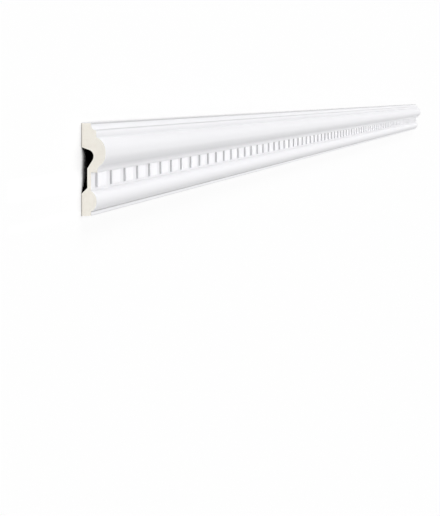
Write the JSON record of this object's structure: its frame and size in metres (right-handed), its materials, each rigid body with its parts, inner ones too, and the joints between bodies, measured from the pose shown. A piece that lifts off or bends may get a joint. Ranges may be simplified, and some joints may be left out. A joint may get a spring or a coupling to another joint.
{
  "type": "panel moulding",
  "caption": "Straight length of white primed foam panel moulding: a cove and torus over a dentil course and an ovolo, with a hollow back.",
  "frame": {"origin": "middle of the back plane, on the surface that the moulding lies on", "axes": "+X along the length, +Y from the foot of the section to its top edge, +Z out from the back to the nose of the torus"},
  "size_m": [2, 0.095, 0.0302],
  "materials": {
    "primed_foam": "white primer, matt"
  },
  "bodies": {
    "root": {"panel_moulding": "primed_foam"}
  },
  "joints": []
}
